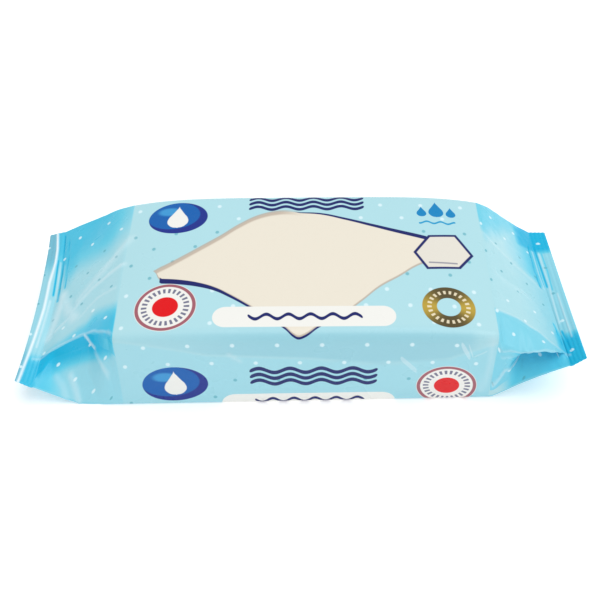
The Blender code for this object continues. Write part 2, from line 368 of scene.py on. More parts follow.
def end_halves(end, share):
    """The two halves of the ring at one station of an end, and the lap seam."""
    halves = []
    narrow = smooth(share / CREASED_SHARE)
    for side, tuck in zip((FRONT, BACK), end.tucks):
        width = half_width(share)
        setback = tuck.setback * curve(tuck.setback_curve, share)
        depth = TUCK_DEPTH * curve(tuck.depth_curve, share)
        edge_y = side * (width - setback)
        edge = Vector((edge_y, flap_top(end, share, edge_y)))
        low = flap_bottom(end, share, side * width)
        foot_y = side * (width + foot_out(side, end.facing * HALF_STACK) * (1 - smooth(share)))
        foot = Vector((foot_y, low))
        high = flap_top(end, share, side * width)
        high -= SEAL_FLAP_STEP * smooth((share - CLOSING_SHARE) / (1 - CLOSING_SHARE))
        fold = Vector((side * (width - depth), mix(low, high, curve(tuck.valley_curve, share))))
        halves.append(half_ring(
            side, edge, fold, foot,
            mix(END_EDGE_RADIUS, FLAP_EDGE_RADIUS, narrow),
            mix(HEIGHT, TUCK_RADIUS, narrow),
            mix(FOOT_RADIUS, FLAP_EDGE_RADIUS, narrow),
            lambda y: flap_top(end, share, y), lambda y: flap_bottom(end, share, y),
        ))
    flat = 1 - smooth((share - SEAM_FADE[0]) / (SEAM_FADE[1] - SEAM_FADE[0]))
    return halves, seam(lambda y: flap_bottom(end, share, y), flat)


def panels():
    """The name of the stretch of film that each point of a half ring lies on."""
    names = ["top"] * POINTS_TOP
    names += ["edge"] * (POINTS_EDGE + 1)
    names += ["upper"] * (POINTS_PANEL - 1)
    names += ["fold"] * (POINTS_FOLD + 1)
    names += ["lower"] * (POINTS_PANEL - 1)
    names += ["foot"] * (POINTS_EDGE + 1)
    names += ["base"] * (POINTS_BOTTOM - 1)
    return names


def ring_of(halves_and_seam, make_spot):
    """One closed ring of spots, which starts and ends at the seam's root, under the pack.

    It runs up the back, over the top, down the front and back under the pack.
    """
    (front, back), seam_points = halves_and_seam
    names = panels()
    order = [(seam_points[2], "seam"), (seam_points[3], "seam")]
    order += list(zip(reversed(back[1:]), reversed(names[1:])))
    top = len(order)
    order += list(zip(front, names))
    order += [(seam_points[0], "seam"), (seam_points[1], "seam"), (seam_points[2], "seam")]
    spots = []
    for point, panel in order:
        spot = make_spot(point)
        spot.panel = panel
        spots.append(spot)
    total = 0.0
    for before, spot, (a, _), (b, _) in zip(spots, spots[1:], order, order[1:]):
        total -= (b - a).length
        spot.round = total
    centre = spots[top].round
    for spot in spots:
        spot.round -= centre
    return spots


def stack_ring(x):
    """The film round the stack."""
    return ring_of(stack_halves(x), lambda p: Spot(Vector((x, p.x, p.y)), x))


def end_ring(end, share):
    """The film round one station of an end."""
    along = end.facing * (HALF_STACK + END_FILM * share)
    return ring_of(
        end_halves(end, share),
        lambda p: Spot(Vector((end_x(end, share, p.x), p.x, p.y)), along, end, share),
    )


def seal_ring(end, out):
    """The film round one station of a seal, at a distance out from its inner edge."""
    along = end.facing * (HALF_STACK + END_FILM + out)
    rib = SEAL_RIB_HEIGHT * (0.5 - 0.5 * math.cos(2 * math.pi * SEAL_RIBS * out / SEAL_WIDTH))
    spots = end_ring(end, 1.0)
    for spot in spots:
        y = spot.place.y
        above = spot.place.z - across(end.lift, y)
        above += rib if above > 0 else -rib
        spot.place = seal_point(end, y, out, above)
        spot.along = along
        spot.out = out
    return spots


def end_rings(end):
    """The rings of one end, from the stack outwards."""
    rings = [end_ring(end, step / END_STATIONS) for step in range(1, END_STATIONS + 1)]
    rings += [seal_ring(end, SEAL_WIDTH * step / SEAL_STATIONS) for step in range(1, SEAL_STATIONS + 1)]
    return rings


def film_rings():
    """Every ring of the film from left to right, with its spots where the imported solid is."""
    rings = list(reversed(end_rings(LEFT)))
    for step in range(STACK_STATIONS):
        rings.append(stack_ring(mix(-HALF_STACK, HALF_STACK, step / (STACK_STATIONS - 1))))
    rings += end_rings(RIGHT)
    low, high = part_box(NODE)
    xs = [spot.place.x for ring in rings for spot in ring]
    ys = [spot.place.y for ring in rings for spot in ring]
    move = Vector((
        (low[0] + high[0] - min(xs) - max(xs)) / 2,
        (low[1] + high[1] - min(ys) - max(ys)) / 2,
        low[2],
    ))
    for ring in rings:
        for spot in ring:
            spot.place = spot.place + move
    return rings


def film_sheet():
    """The film as a grid of vertices moved to their spots, joined into a tube and closed."""
    rings = film_rings()
    stations = len(rings) - 1
    points = len(rings[0]) - 1
    sheet = bmesh.new()
    for name in TINT_LAYERS:
        sheet.verts.layers.float.new(name)
    bmesh.ops.create_grid(sheet, x_segments=stations, y_segments=points, size=1.0)
    spots = {}
    first = {}
    last = {}
    for vert in sheet.verts:
        station = round((vert.co.x + 1) / 2 * stations)
        point = round((vert.co.y + 1) / 2 * points)
        spots[vert] = rings[station][point]
        if point == 0:
            first[station] = vert
        if point == points:
            last[station] = vert
    layout = sheet.loops.layers.uv.new("film")
    for vert, spot in spots.items():
        vert.co = spot.place
        for loop in vert.link_loops:
            loop[layout].uv = spot.uv
    bmesh.ops.weld_verts(sheet, targetmap={last[station]: first[station] for station in first})
    rims = [edge for edge in sheet.edges if edge.is_boundary]
    caps = bmesh.ops.holes_fill(sheet, edges=rims, sides=0)["faces"]
    for face in caps:
        for loop in face.loops:
            loop[layout].uv = spots[loop.vert].uv
    bmesh.ops.triangulate(sheet, faces=caps)
    bmesh.ops.recalc_face_normals(sheet, faces=list(sheet.faces))
    return sheet, spots


# Where the tucked sides show through the end flaps: the v, in millimetres, at which
# the colour starts to deepen, as (share from stack to seal, v) pairs
LEFT_BACK_TUCK = ((0, 18), (0.07, 14), (0.27, 9), (0.70, 9), (0.84, 2), (1, 0))
LEFT_FRONT_TUCK = ((0, -23), (0.30, -20.5), (0.43, -24.5), (0.77, -27.5), (1, -30))
RIGHT_BACK_TUCK = ((0, 22), (0.06, 14), (0.25, 21), (0.50, 29), (1, 40))
RIGHT_SEAL_TUCK = ((0, 60), (0.30, 30), (0.37, 14), (0.80, 3), (1, 0))
RIGHT_FACET = ((0, -31), (0.04, -33.6), (0.30, -34.1), (0.57, -37.9), (0.82, -43.5), (1, -47))

# The lower end of the band of painted shade where the film rolls over the front edge,
# and the lower end of the deep colour, partly painted shade, under the left flap
FRONT_ROLL = ((-93, -51.6), (-49, -64.4), (4, -67.5), (36, -72), (71, -68), (97, -53))
LEFT_DEEP_END = (
    (-152, -42.7), (-140.4, -41.6), (-128, -43.4), (-116.6, -46.7), (-109, -49.4), (-99.3, -53.4))

# The fold along the left seal, with a painted highlight on it. Outside it the seal is greyer.
LEFT_SEAL_FOLD = (
    (-153.2, 54.5), (-152.3, 40.5), (-152.4, 30.5), (-153.9, 15.2), (-153.9, -3.7), (-154.9, -24.8),
    (-155.9, -41.1), (-156.4, -56))

# A crease along points (u, v) in millimetres: how far it stands out, how wide it is,
# how much painted highlight it has, and how much deeper its colour is, partly as painted shade
Crease = namedtuple("Crease", "points height width pale deep", defaults=(0.0, 0.0))

CREASES = (
    # the left seal's fold with its painted highlight, and the pleats beside it, darkened as painted shade
    Crease(LEFT_SEAL_FOLD, 0.5, 1.3, 1),
    Crease(((-148.2, 50), (-147.2, 22), (-146.6, 1)), -0.4, 1.4, 0, 1.14),
    Crease(((-151, 32), (-150.6, 6)), -0.3, 1.1, 0, 1.05),
    Crease(((-144.6, 46), (-143, 26), (-142.2, 8)), -0.3, 1.3, 0, 0.98),
    Crease(((-149.4, 30), (-148.8, 4)), 0.25, 0.8, 0.30),
    Crease(((-145.6, 26), (-144.6, 2)), 0.25, 0.8, 0.25),
    Crease(((-151.6, 2), (-152.6, -30)), 0.25, 1.2, 0.40),
    Crease(((-142, 2), (-144, -10), (-146.5, -24)), 0, 5.5, 0.42),
    # the left flap
    Crease(((-94, 21), (-104, 9), (-116, 0), (-128, -8)), 0.5, 4.5, 0.20),
    Crease(((-96, 1.4), (-106.4, -1.5), (-117.2, -5), (-127.5, -10.5), (-133.6, -18), (-142.6, -22)),
           0.4, 2.6, 0.30),
    Crease(((-106, 14), (-122, 3), (-140, -6)), -0.4, 4, 0, 0.10),
    Crease(((-143, 3), (-136, -10), (-128, -20)), 0.3, 6, 0.30),
    Crease(((-99, -15), (-112, -15.5), (-124, -23)), 0.25, 2, 0.16),
    Crease(((-96.5, -47), (-98.1, -45.2), (-109.3, -38.8), (-116.6, -36.4), (-127.5, -35.2),
            (-141.1, -34.5), (-152.7, -37.8)), 0.35, 1.2, 0.28),
    # under the left flap
    Crease(((-116.4, -37), (-113.2, -43.1), (-109.4, -48.6)), 0.5, 1.3, 0.60),
    Crease(((-109.3, -51.3), (-105.8, -59), (-101.9, -69.3)), 0.4, 2, 0.26),
    Crease(((-127.5, -54), (-124.2, -63.9), (-122.7, -72)), 0.4, 3, 0.25),
    Crease(((-117, -56), (-113, -68), (-110, -80)), -0.4, 4, 0, 0.08),
    Crease(((-137, -50), (-132, -58), (-130, -66)), 0.3, 3, 0.15),
    # the right flap
    Crease(((96.7, 24), (104, 19), (115, 13), (130, 6.5), (144.6, 0.5)), 0.3, 2.4, 0.12),
    Crease(((104, -4), (124, -8), (142, -18)), -0.35, 6, 0, 0.05),
    Crease(((143.4, 37), (142.6, 15.2), (144, 2.4)), -0.45, 1.5, 0, 1.14),
    Crease(((149.3, 37.8), (149.9, 19.5), (150.2, 5)), -0.35, 1.2, 0, 1),
    Crease(((152.4, 36), (152.9, 17.3), (152.4, 2)), -0.25, 1, 0, 0.60),
    Crease(((146.4, 34), (146.2, 15), (147.2, 3)), 0.3, 1.2, 0.45),
    Crease(((151, 34), (151.4, 8), (150.4, -24)), 0.25, 0.9, 0.35),
    Crease(((145.4, -25), (147.3, -40)), -0.35, 1.2, 0, 0.95),
    Crease(((150.4, -30), (151.8, -46)), -0.25, 1.2, 0, 1.08),
    Crease(((154.2, -2), (154.4, -36)), 0.25, 0.9, 0.40),
    Crease(((97.4, -33.6), (111.7, -34.1), (126.8, -37.9), (139.7, -43.5), (150.4, -47.1)), 0.35, 1.4, 0.18),
    Crease(((98, -56), (105, -53.6), (113, -53.7), (125, -51.5), (140, -48.5)), 0.3, 1.2, 0.20),
    # under the right flap
    Crease(((118, -68), (104.6, -70.5), (96.5, -86)), 0.6, 1.8, 0.35),
    Crease(((100, -60), (110, -58), (122, -60)), 0.3, 2.4, 0.12),
    # the front near its right end
    Crease(((76.5, -55), (78.5, -61), (83, -70)), 0.25, 3),
    Crease(((80, -55), (91.5, -66)), 0.15, 2.4),
    Crease(((48, -66.5), (53, -71), (58.5, -77)), 0.2, 2.4),
    Crease(((-38, -64), (-33, -69.5)), 0.3, 2.2, 0.20),
    Crease(((92, -52), (93.5, -70), (91, -92)), 0.35, 3, 0.16),
)

# The share of the colour range that the tints take. The pleats' painted shade goes beyond it.
TINT_SCALE = 0.8

CRINKLE_LENGTH = 0.013
CRINKLE_HEIGHT = 0.00035
STACK_CRINKLE_SHARE = 0.22
SEAL_WAVE_LENGTH = 0.030
SEAL_WAVE_HEIGHT = 0.0004


def crinkle(spot):
    """Sharp-edged small creases in the loose film, fainter where the stack backs it."""
    if spot.on_seal:
        return 0.0
    place = Vector((spot.along, spot.round, 0.0)) / CRINKLE_LENGTH
    folds = 0.5 - abs(noise.noise(place)) - 0.5 * abs(noise.noise(place * 2.1))
    loose = mix(STACK_CRINKLE_SHARE, 1.0, ramp(0.0, 0.3, spot.share))
    if spot.panel in ("base", "seam", "foot"):
        loose *= 0.0 if spot.share < 0.5 else 0.5
    return CRINKLE_HEIGHT * folds * loose * (1 - ramp(CLOSING_SHARE, 1.0, spot.share))


def line_distance(points, u, v):
    """Distance in the flat film from (u, v) to a line through points."""
    gaps = []
    for (au, av), (bu, bv) in zip(points, points[1:]):
        du, dv = bu - au, bv - av
        share = ((u - au) * du + (v - av) * dv) / (du * du + dv * dv)
        share = min(max(share, 0.0), 1.0)
        gaps.append(math.hypot(u - au - share * du, v - av - share * dv))
    return min(gaps)


def near(crease, u, v):
    """Whether (u, v) can be within the crease's width."""
    us, vs = zip(*crease.points)
    return (min(us) - crease.width < u < max(us) + crease.width
            and min(vs) - crease.width < v < max(vs) + crease.width)


def crease_effect(u, v):
    """Height in millimetres, painted highlight, and depth of colour, partly painted shade, that the creases
    add at (u, v).
    """
    height = pale = deep = 0.0
    for crease in CREASES:
        if near(crease, u, v):
            gap = line_distance(crease.points, u, v)
            if gap < crease.width:
                share = (1 - gap / crease.width) ** 2
                shade = 1 - smooth(gap / crease.width)
                height += crease.height * share
                pale = max(pale, crease.pale * shade)
                deep = max(deep, crease.deep * shade)
    return height, pale, deep


def line_at(points, u):
    """Reads a line of (u, v) points at u, straight between them."""
    for (au, av), (bu, bv) in zip(points, points[1:]):
        if u <= bu:
            return mix(av, bv, min(max((u - au) / (bu - au), 0.0), 1.0))
    return points[-1][1]


def left_depth_and_shade(spot):
    """How deep the colour of the left end is, from its layers of film and from painted shade under the flap.
    """
    share, v = spot.share, spot.v
    if spot.on_seal:
        # deeper towards its back and front ends
        return 0.16 + 0.55 * ramp(18, 40, v) + 0.62 * ramp(32, 42, -v)
    if spot.panel in ("top", "edge"):
        # the tucked sides show through the flap, at its back and at its front, where painted shade under the
        # flap's edge deepens it further
        back = mix(0.36, 0.72, ramp(0.0, 0.40, share)) * ramp(-8, 32, v - curve(LEFT_BACK_TUCK, share))
        front = 0.78 * ramp(-2, 15, curve(LEFT_FRONT_TUCK, share) - v)
        return max(0.07 + 0.06 * share, back, front)
    # under the flap's edge: layered film deepened as painted shade
    if spot.panel == "upper":
        return mix(0.60, 0.97, ramp(0.08, 0.24, share))
    if spot.panel in ("fold", "lower"):
        # deep under the flap, layered film with painted shade, then paler down to the floor
        below = line_at(LEFT_DEEP_END, spot.u) - v
        under = 0.22 + 0.46 * ramp(0.60, 1.0, share)
        return mix(0.92, under, ramp(-1, 9, below)) if v < 0 else 0.5
    return 0.20 + 0.2 * share


def right_depth_and_shade(spot):
    """How deep the colour of the right end is, from its layers of film and from painted shade under the
    hanging front of the flap.
    """
    share, v = spot.share, spot.v
    if spot.on_seal:
        # deep at its back and front ends, with a thin rim
        rim = 0.35 * ramp(0.0078, 0.0086, spot.out)
        return max(0.24, ramp(30, 38, v), 0.95 * ramp(28, 38, -v), rim)
    if spot.panel in ("top", "edge"):
        # the tucked sides and the seal's corners show through the flap
        plain = mix(0.04, 0.22, ramp(0.35, 0.95, share))
        back = 0.44 * ramp(-3, 20, v - curve(RIGHT_BACK_TUCK, share))
        seal = mix(0.15, 0.60, ramp(0.45, 0.95, share)) * ramp(-2, 8, v - curve(RIGHT_SEAL_TUCK, share))
        seal *= ramp(0.30, 0.50, share)
        corner = ramp(0.60, 0.76, share) * ramp(31, 37, v)
        facet = 0.36 * ramp(-0.8, 0.8, curve(RIGHT_FACET, share) - v)
        end = 0.70 * ramp(0.80, 0.97, share) * ramp(22, 36, -v)
        return max(plain, back, seal, corner, facet, end)
    # under the hanging front of the flap: layered film deepened as painted shade, paler low down
    if spot.panel in ("upper", "fold") and v < 0:
        return mix(0.36, 0.72, ramp(0.16, 0.42, share))
    if spot.panel == "lower" and v < 0:
        return mix(0.16, 0.64, ramp(0.12, 0.36, share)) - 0.20 * ramp(74, 92, -v)
    return 0.22 + 0.25 * share


def roll_shade_of(u, v):
    """Painted shade: 1 in the band where the film rolls over the front edge, fading above it and to its ends.
    """
    band = ramp(-1.5, 1.5, v - line_at(FRONT_ROLL, u)) * ramp(46, 53, -v)
    return band * mix(0.45, 1.0, ramp(-85, -10, u)) * mix(1.0, 0.35, ramp(80, 87, u))


def depth_and_shade_of(spot):
    """0 for the palest printed film, over the wipes, and 1 for the deepest, in the tucks. It is partly layers
    of film and partly painted shade.
    """
    if spot.end is LEFT:
        return left_depth_and_shade(spot)
    if spot.end is RIGHT:
        return right_depth_and_shade(spot)
    # the front face is deepened as painted shade, more in the roll band and towards its right end
    front = ramp(0, 2, line_at(FRONT_ROLL, spot.u) - spot.v)
    return 0.02 + 0.08 * roll_shade_of(spot.u, spot.v) + 0.11 * front + 0.04 * front * ramp(50, 90, spot.u)


def grey_and_shade_of(spot):
    """How grey the film is: outside the left seal's bright fold, and on the front roll, where the grey is
    painted shade.
    """
    if spot.end is None:
        return 0.32 * roll_shade_of(spot.u, spot.v)
    if spot.end is RIGHT or spot.out <= 0:
        return 0.0
    most = mix(0.28, 0.85, max(ramp(18, 38, spot.v), ramp(24, 44, -spot.v)))
    if spot.v < LEFT_SEAL_FOLD[-1][1]:
        return most
    fold_u = line_at([(-v, u) for u, v in LEFT_SEAL_FOLD], -spot.v)
    return most * ramp(0.2, 1.2, fold_u - spot.u)


def film_mesh():
    """The finished film, creased, with its colour depth and its greyness, both partly painted shade, and its
    painted highlights as attributes.
    """
    sheet, spots = film_sheet()
    depth_and_shade, pale, grey_and_shade = (sheet.verts.layers.float[name] for name in TINT_LAYERS)
    sheet.normal_update()
    moves = []
    for vert in sheet.verts:
        spot = spots[vert]
        height, painted_highlight_share, depth = crease_effect(spot.u, spot.v)
        wave = 0.0
        if spot.out > 0:
            wave = SEAL_WAVE_HEIGHT * noise.noise(
                Vector((0.0, spot.place.y / SEAL_WAVE_LENGTH, spot.end.facing)))
            wave *= spot.out / SEAL_WIDTH
        moves.append((vert, vert.normal * (height / MM + crinkle(spot)) + Vector((0.0, 0.0, wave))))
        vert[depth_and_shade] = min(max(depth_and_shade_of(spot), depth) * TINT_SCALE, 1.0)
        vert[pale] = painted_highlight_share
        vert[grey_and_shade] = grey_and_shade_of(spot)
    for vert, move in moves:
        vert.co += move
        vert.co.z = max(vert.co.z, 0.0)
    mesh = bpy.data.meshes.new("printed_film")
    sheet.to_mesh(mesh)
    sheet.free()
    mesh.shade_smooth()
    return mesh


# The colours of the print, and of the painted shade and highlights, as they look on screen, 0 to 255
PALE_FILM = (181, 225, 233)
MID_FILM = (98, 207, 233)
DEEP_FILM = (0, 183, 225)
# the pleats' colour, deeper film with painted shade
SHADED_PLEAT_FILM = (18, 132, 172)
GREY_AND_SHADE_FILM = (122, 186, 206)
# painted highlight on creases
CREASE_HIGHLIGHT = (240, 251, 255)
WHITE_DOT = (226, 249, 255)
TEAL_DOT = (88, 174, 190)
CREAM = (237, 230, 214)
CREAM_EDGE = (188, 172, 156)
PANEL_GREY = (231, 227, 216)
NAVY = (18, 30, 104)
PILL_WHITE = (243, 243, 238)
SMALL_PRINT = (130, 130, 150)
BADGE_RED = (228, 0, 12)
BADGE_RIM = (164, 96, 108)
GOLD_DARK = (88, 76, 44)
GOLD_LIGHT = (190, 162, 62)
GOLD_MARK = (244, 232, 200)
DROP_BLUE = (0, 134, 196)
RIPPLE_CYAN = (24, 158, 208)
EMBLEM_BLUE = (0, 96, 178)
EMBLEM_NAVY = (22, 44, 140)
EMBLEM_SKY = (66, 164, 222)

# The cream window of the design: its upper and lower edges as (u, v) points, and the
# widths of the navy strokes along them as (u, width) points
WINDOW_TOP = (
    (-80, -9), (-77.6, -7.2), (-75.4, -5.6), (-72.6, -4), (-65.5, 0.9), (-55.5, 8.6), (-45.4, 16.8),
    (-35.1, 26.4), (-24.5, 33.8), (-13.6, 37.1), (-7, 37), (-2.6, 36), (8.3, 35), (21.8, 30.6), (35.2, 25.5),
    (48.3, 20.6), (64, 15.4), (80, 10))
WINDOW_BOTTOM = (
    (-80, -4.4), (-77.6, -7), (-76.7, -9.6), (-75.6, -12.2), (-74, -14), (-64.1, -15.5), (-53.6, -18.1),
    (-45.8, -21.2), (-37.9, -26.2), (-30.1, -31.8), (-21.4, -38.5), (-9.9, -47.6), (-5.2, -52), (-3.4, -52.8),
    (-1.2, -52.3), (7, -46.6), (19.8, -38.2), (28.6, -30.3), (38.1, -20.8), (48.8, -13), (57, -6.3),
    (62.4, -3.1), (80, 4))
WINDOW_END = 65.0
LOWER_STROKE = ((-80, 3.4), (-60, 3), (-44, 2.1), (-28, 1.4), (12, 1), (15, 0), (80, 0))
UPPER_STROKE = ((-80, 0), (-8, 0), (4, 0.9), (30, 1.8), (64, 2.8), (80, 2.8))
LOWER_STROKE_START = -75.2

HEXAGON = ((57.8, 4.2), (66.3, 17.1), (80.4, 18.4), (87.9, 3.9), (80.4, -6.2), (63.6, -7.5))

# The snow of dots: steps along and round the film, and how its dots are shaped
DOT_PITCH = 22.15
DOT_PHASE = 8.3
DOT_ROW_TOP = 10.9
DOT_ROW_SIDE = 13.2
DOT_ROW_PHASE = 0.1
DOT_TOP_HALF = 45.4
DOT_FLATNESS = 0.85
DOT_END = (94.0, 104.0)
DOT_END_STRETCH = 0.08
DOT_END_FLATNESS = 0.30
WHITE_DOT_RIM = (0.65, 1.5)
TEAL_DOT_RIM = (0.6, 1.35)
TEAL_ROWS = ((-1.5, 2.5), (-8.5, -6.5))

# The half width of a drop of water up its height, both as shares of the height
DROP_OUTLINE = (
    (-0.6, 0), (-0.5, 0), (-0.47, 0.12), (-0.38, 0.24), (-0.22, 0.315), (-0.06, 0.29), (0.12, 0.19),
    (0.3, 0.09), (0.5, 0), (0.6, 0))

# Where the printed shapes are, by their centres (u, v): the pills with half length,
# half height and corner, the discs with half length, and the small drops with height
PILLS = (((-0.5, -40.8), 45.6, 6.6, 6.5), ((1.3, -103.0), 45.2, 7.5, 7.4))
EMBLEMS = (((-69.3, 34.0), 16.2), ((-67.0, -86.0), 17.0))
BADGES = ((-70.3, -33.0), (72.5, -89.5))
GOLD_RING = (71.9, -34.3)
SMALL_DROPS = (((71.8, 39.4), 13.0), ((63.8, 37.4), 8.5), ((79.8, 37.4), 8.5))

# The rows of ripples, by centre: half length, wavelength, wave height, line gap, line
# width, and lines on each side of the middle one
NAVY_RIPPLES = (
    ((0.9, 44.4), (30.5, 15.2, 1.3, 3.9, 2.3, 1)),
    ((4.0, -81.4), (31.0, 15.8, 1.6, 4.6, 2.8, 1)),
    ((0.0, -40.8), (27.5, 11.0, 1.5, 3.4, 2.1, 0)),
    ((2.0, -101.0), (27.5, 11.0, 1.5, 3.4, 2.1, 0)),
)
CYAN_RIPPLE = ((71.8, 28.4), (9.4, 7.6, 0.8, 2.8, 1.3, 0))

# The painted highlights on small creases on the front near its right end, by centre:
# half length, half height, slope and how bright
FRONT_CREASE_HIGHLIGHTS = (
    ((51.8, -72.8), 4.4, 2.0, -1.2, 0.26),
    ((79.6, -61.6), 2.8, 2.4, -1.9, 0.30),
    ((82.2, -61.4), 1.6, 1.0, -2.9, 0.26),
    ((87.4, -63.4), 3.0, 0.6, 0.8, 0.20),
)


def colour(code):
    """A screen colour, 0 to 255 a channel, as the linear colour that shaders take."""
    channels = []
    for value in code:
        share = value / 255
        channels.append(share / 12.92 if share <= 0.04045 else ((share + 0.055) / 1.055) ** 2.4)
    return (*channels, 1.0)


class Board:
    """Places and joins the nodes of one node tree."""

    def __init__(self, tree):
        self.tree = tree
        self.count = 0

    def node(self, kind, **settings):
        node = self.tree.nodes.new(kind)
        node.location = (200 * (self.count // 12), -170 * (self.count % 12))
        self.count += 1
        for name, value in settings.items():
            setattr(node, name, value)
        return node

    def feed(self, socket, value):
        if isinstance(value, bpy.types.NodeSocket):
            self.tree.links.new(value, socket)
        else:
            socket.default_value = value

    def fill(self, node, **values):
        """Feeds a node's inputs by name, with underscores for spaces."""
        for name, value in values.items():
            self.feed(node.inputs[name.replace("_", " ")], value)
        return node

    def attribute(self, name):
        return self.node("ShaderNodeAttribute", attribute_name=name).outputs["Fac"]

    def calc(self, operation, *values):
        node = self.node("ShaderNodeMath", operation=operation)
        for socket, value in zip(node.inputs, values):
            self.feed(socket, value)
        return node.outputs[0]

    plus = partialmethod(calc, "ADD")
    minus = partialmethod(calc, "SUBTRACT")
    times = partialmethod(calc, "MULTIPLY")
    over = partialmethod(calc, "DIVIDE")
    size = partialmethod(calc, "ABSOLUTE")
    larger = partialmethod(calc, "MAXIMUM")
    smaller = partialmethod(calc, "MINIMUM")
    rounded = partialmethod(calc, "ROUND")

    def hypot(self, a, b):
        return self.calc("SQRT", self.plus(self.times(a, a), self.times(b, b)))

    def scale(self, value, given, made, **settings):
        """Takes a value from one range to another."""
        node = self.node("ShaderNodeMapRange", **settings)
        self.fill(node, Value=value, From_Min=given[0], From_Max=given[1], To_Min=made[0], To_Max=made[1])
        return node.outputs[0]

    def fade(self, value, start, finish):
        """1 at or below start, falling to 0 at finish."""
        return self.scale(value, (start, finish), (1.0, 0.0), interpolation_type="SMOOTHSTEP")

    def rise(self, value, start, finish):
        """0 at or below start, rising to 1 at finish."""
        return self.minus(1.0, self.fade(value, start, finish))

    def filled(self, distance, softness):
        """The inside of a shape, from the distance to its rim, inside negative."""
        half = self.times(softness, 0.5)
        return self.fade(distance, self.times(half, -1.0), half)

    def both(self, *masks):
        return reduce(self.times, masks)

    def either(self, *masks):
        return reduce(self.larger, masks)

    def paint(self, below, code, mask):
        """Lays a screen colour, or a colour socket, over another by a mask."""
        below, above = (given if isinstance(given, bpy.types.NodeSocket) else colour(given)
                        for given in (below, code))
        node = self.fill(self.node("ShaderNodeMix", data_type="RGBA"), Factor=mask)
        self.feed(node.inputs["A"], below)
        self.feed(node.inputs["B"], above)
        return node.outputs["Result"]

    def graph(self, value, points, ends=(-80.0, 80.0), values=(-60.0, 60.0), sharp=()):
        """Reads a line of (u, v) points at the given u, with the points in sharp as corners."""
        node = self.node("ShaderNodeFloatCurve")
        track = node.mapping.curves[0]
        while len(track.points) < len(points):
            track.points.new(0.5, 0.5)
        for knot, (u, v) in zip(track.points, points):
            knot.location = ((u - ends[0]) / (ends[1] - ends[0]), (v - values[0]) / (values[1] - values[0]))
            knot.handle_type = "VECTOR" if u in sharp else "AUTO"
        node.mapping.update()
        self.fill(node, Value=self.scale(value, ends, (0.0, 1.0)))
        return self.scale(node.outputs[0], (0.0, 1.0), values, clamp=False)

    def group(self, tree, **values):
        """A node group with its inputs fed by name, such as centre_u for Centre u."""
        node = self.node("ShaderNodeGroup", node_tree=tree)
        return self.fill(node, **{name.capitalize(): value for name, value in values.items()})


def new_group(name, inputs, outputs=("Shape",)):
    """A node group for a printed shape, and the offsets from its centre inside it."""
    tree = bpy.data.node_groups.new(name, "ShaderNodeTree")
    places = (("U", 0.0), ("V", 0.0), ("Centre u", 0.0), ("Centre v", 0.0))
    for label, value in places + inputs:
        socket = tree.interface.new_socket(label, in_out="INPUT", socket_type="NodeSocketFloat")
        socket.default_value = value
    for label in outputs:
        tree.interface.new_socket(label, in_out="OUTPUT", socket_type="NodeSocketFloat")
    board = Board(tree)
    given = board.node("NodeGroupInput").outputs
    made = board.node("NodeGroupOutput").inputs
    du = board.minus(given["U"], given["Centre u"])
    dv = board.minus(given["V"], given["Centre v"])
    return tree, board, given, made, du, dv


def oval_group():
    """A filled oval."""
    tree, board, given, made, du, dv = new_group(
        "printed oval", (("Half length", 10.0), ("Half height", 10.0), ("Softness", 0.4)))
    far = board.hypot(board.over(du, given["Half length"]), board.over(dv, given["Half height"]))
    distance = board.times(board.minus(far, 1.0), given["Half height"])
    board.feed(made["Shape"], board.filled(distance, given["Softness"]))
    return tree


def bar_group():
    """A bar with rounded ends, which may slope."""
    tree, board, given, made, du, dv = new_group(
        "printed bar",
        (("Half length", 20.0), ("Half height", 5.0), ("Corner", 2.0), ("Slope", 0.0), ("Softness", 0.4)))
    dv = board.minus(dv, board.times(du, given["Slope"]))
    past = []
    for offset, half in ((du, "Half length"), (dv, "Half height")):
        straight = board.minus(given[half], given["Corner"])
        past.append(board.larger(board.minus(board.size(offset), straight), 0.0))
    distance = board.minus(board.hypot(*past), given["Corner"])
    board.feed(made["Shape"], board.filled(distance, given["Softness"]))
    return tree


def ripple_group():
    """Wavy lines side by side, as water is drawn."""
    tree, board, given, made, du, dv = new_group(
        "printed ripples",
        (("Half length", 20.0), ("Wavelength", 10.0), ("Wave height", 1.0), ("Line gap", 3.5),
         ("Line width", 1.5), ("Lines each side", 1.0)))
    turn = board.over(board.times(du, 2 * math.pi), given["Wavelength"])
    dv = board.minus(dv, board.times(board.calc("SINE", turn), given["Wave height"]))
    line = board.smaller(board.rounded(board.over(dv, given["Line gap"])), given["Lines each side"])
    line = board.larger(line, board.times(given["Lines each side"], -1.0))
    from_line = board.minus(dv, board.times(line, given["Line gap"]))
    past_end = board.larger(board.minus(board.size(du), given["Half length"]), 0.0)
    distance = board.minus(board.hypot(from_line, past_end), board.times(given["Line width"], 0.5))
    board.feed(made["Shape"], board.fade(distance, -0.15, 0.25))
    return tree


def ring_group():
    """A ring, whole or cut into dashes."""
    tree, board, given, made, du, dv = new_group(
        "printed ring", (("Inner radius", 8.0), ("Outer radius", 10.0), ("Dashes", 0.0), ("Dash share", 0.5)))
    radius = board.hypot(du, dv)
    inner = board.rise(board.minus(radius, given["Inner radius"]), -0.2, 0.2)
    outer = board.fade(board.minus(radius, given["Outer radius"]), -0.2, 0.2)
    turn = board.times(board.calc("ARCTAN2", dv, du), given["Dashes"])
    swing = board.plus(board.times(board.calc("COSINE", turn), 0.5), 0.5)
    dash = board.rise(board.plus(swing, given["Dash share"]), 0.85, 1.15)
    board.feed(made["Shape"], board.both(inner, outer, dash))
    return tree


def drop_group():
    """A drop of water with its point up."""
    tree, board, given, made, du, dv = new_group("printed drop", (("Height", 16.0),))
    beside = board.size(board.over(du, given["Height"]))
    up = board.over(dv, given["Height"])
    width = board.graph(up, DROP_OUTLINE, (-0.6, 0.6), (-0.1, 0.4), sharp=(-0.6, 0.6))
    inside = board.fade(board.minus(beside, width), -0.015, 0.015)
    board.feed(made["Shape"], board.both(inside, board.fade(board.size(up), 0.49, 0.51)))
    return tree


